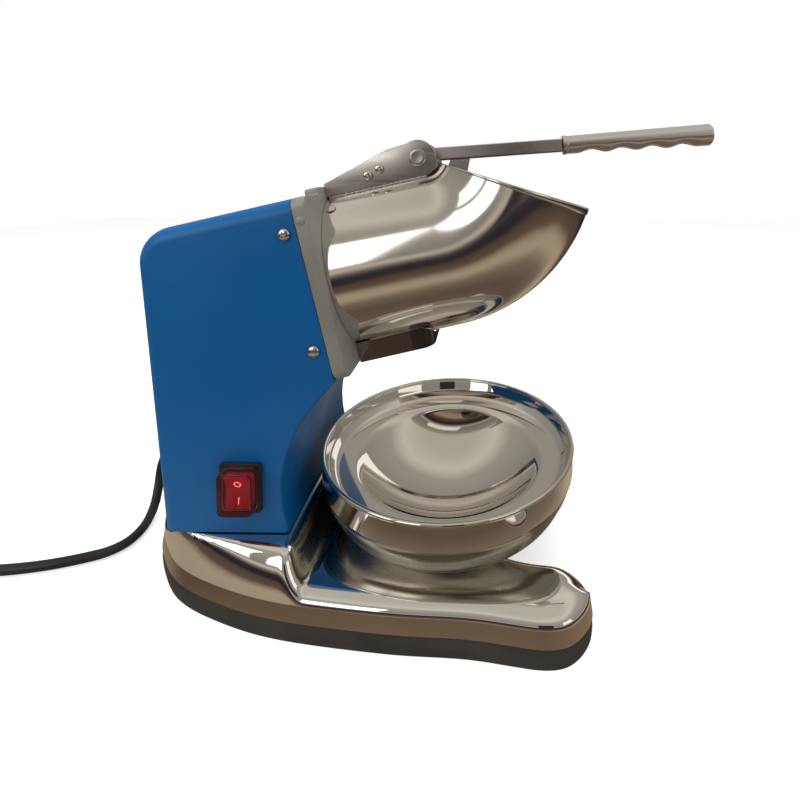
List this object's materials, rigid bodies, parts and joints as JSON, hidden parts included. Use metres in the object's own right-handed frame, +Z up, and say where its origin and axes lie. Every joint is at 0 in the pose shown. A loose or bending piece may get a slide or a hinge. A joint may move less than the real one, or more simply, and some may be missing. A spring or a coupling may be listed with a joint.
{
  "type": "electric ice shaver",
  "caption": "Electric ice shaver with a tilted steel drum and elbow mouth, press lever with a pusher, blue motor housing, lift-off bowl, two-armed base and mains lead.",
  "frame": {"origin": "centre of the object's box, without the lead, on the surface that it stands on", "axes": "+X forward along the lever towards the drum's mouth, -Y the side with the switch, +Z up"},
  "size_m": [0.583, 0.2388, 0.3072],
  "materials": {
    "rubber": "moulded matt rubber",
    "chrome": "polished chrome plating",
    "polished_steel": "mirror-polished stainless steel",
    "brushed_steel": "fine brushed stainless steel",
    "sheet_steel": "plain zinc-plated sheet",
    "blue_paint": "satin blue powder coat",
    "cast_aluminium": "fine bead-blasted casting",
    "lamination": "laminated iron and copper winding",
    "black_plastic": "fine textured plastic",
    "red_plastic": "translucent red rocker",
    "clear_cover": "clear flexible cover",
    "cord_sheath": "smooth black sheath",
    "brass": "plain brass"
  },
  "bodies": {
    "frame": {"rubber_skirt": "rubber", "base_casting": "chrome", "bottom_plate": "sheet_steel", "housing_shell": "blue_paint", "housing_front_panel": "blue_paint", "front_casting": "cast_aluminium", "drum": "polished_steel", "spout_guard": "polished_steel", "bracket_side_near": "brushed_steel", "bracket_side_far": "brushed_steel", "bracket_bridge": "brushed_steel", "pivot_pin": "brushed_steel", "front_bell": "cast_aluminium", "bearing_front": "brushed_steel", "motor_case": "sheet_steel", "stator_core": "lamination", "rear_bell": "cast_aluminium", "bearing_rear": "brushed_steel", "switch_body": "black_plastic", "switch_cap": "clear_cover", "terminal_block": "black_plastic", "cord_gland": "black_plastic", "cord": "cord_sheath", "cord_coil": "cord_sheath", "cord_tie": "black_plastic", "plug": "cord_sheath", "plug_pin_1": "brass", "plug_pin_2": "brass", "housing_screw_1": "brushed_steel", "bracket_screw_1": "brushed_steel", "housing_screw_2": "brushed_steel", "bracket_screw_2": "brushed_steel", "housing_screw_3": "brushed_steel", "bracket_screw_3": "brushed_steel", "housing_screw_4": "brushed_steel", "bracket_screw_4": "brushed_steel", "drum_rivet_1": "brushed_steel", "drum_rivet_2": "brushed_steel"},
    "shaft": {"motor_shaft": "brushed_steel", "rotor": "lamination", "cooling_fan": "black_plastic", "blade_disc": "brushed_steel", "blade_1": "brushed_steel", "blade_2": "brushed_steel", "disc_nut": "brushed_steel"},
    "lever": {"lever_hub": "brushed_steel", "lever_bar": "brushed_steel", "lever_grip": "polished_steel", "pusher_arm": "brushed_steel", "pusher_plate": "brushed_steel"},
    "rocker": {"switch_rocker": "red_plastic"},
    "bowl": {"bowl": "polished_steel"}
  },
  "joints": [
    {"name": "lever_hinge", "type": "hinge", "parent": "frame", "child": "lever", "pos_m": [-0.01239, 0, 0.28036], "axis": [0, -1, 0], "range_deg": [0, 105]},
    {"name": "blade_spin", "type": "hinge", "parent": "frame", "child": "shaft", "pos_m": [-0.062, 0, 0.2008], "axis": [0.9728, 0, 0.2317], "continuous": true},
    {"name": "rocker_tilt", "type": "hinge", "parent": "frame", "child": "rocker", "pos_m": [-0.114, -0.0618, 0.0775], "axis": [-1, 0, 0], "range_deg": [0, 12]},
    {"name": "bowl_lift", "type": "slide", "parent": "frame", "child": "bowl", "axis": [0, 0, 1], "range_m": [0, 0.025]}
  ]
}
